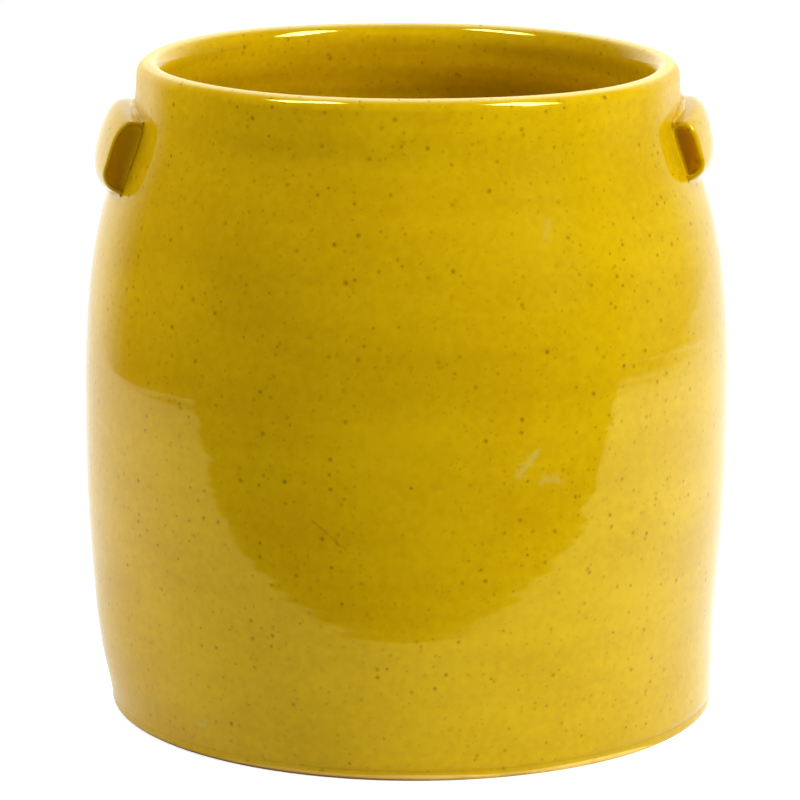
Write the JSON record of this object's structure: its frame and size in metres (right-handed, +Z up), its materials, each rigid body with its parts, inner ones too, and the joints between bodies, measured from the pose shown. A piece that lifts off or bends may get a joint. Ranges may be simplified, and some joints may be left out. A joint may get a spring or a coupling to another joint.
{
  "type": "flower pot",
  "caption": "Round glazed stoneware flower pot for the floor, with a rounded lip, soft shoulders, strap ears at the sides below the rim and a bare clay foot.",
  "frame": {"origin": "on the pot's axis, at the level of the ground it stands on", "axes": "+Z up along the pot's axis; +X through the middle of the right ear, -X through the left ear; the picture looks along +Y from slightly above"},
  "size_m": [0.3602, 0.3602, 0.364],
  "materials": {
    "yellow_glaze": "glossy mustard yellow glaze with brown iron speckles",
    "bare_clay": "unglazed buff stoneware"
  },
  "bodies": {
    "root": {"thrown_wall": "yellow_glaze", "base_slab": "bare_clay", "inner_corner_coil": "yellow_glaze", "left_ear": "yellow_glaze", "left_ear_upper_coil": "yellow_glaze", "left_ear_lower_coil": "yellow_glaze", "right_ear": "yellow_glaze", "right_ear_upper_coil": "yellow_glaze", "right_ear_lower_coil": "yellow_glaze"}
  },
  "joints": []
}
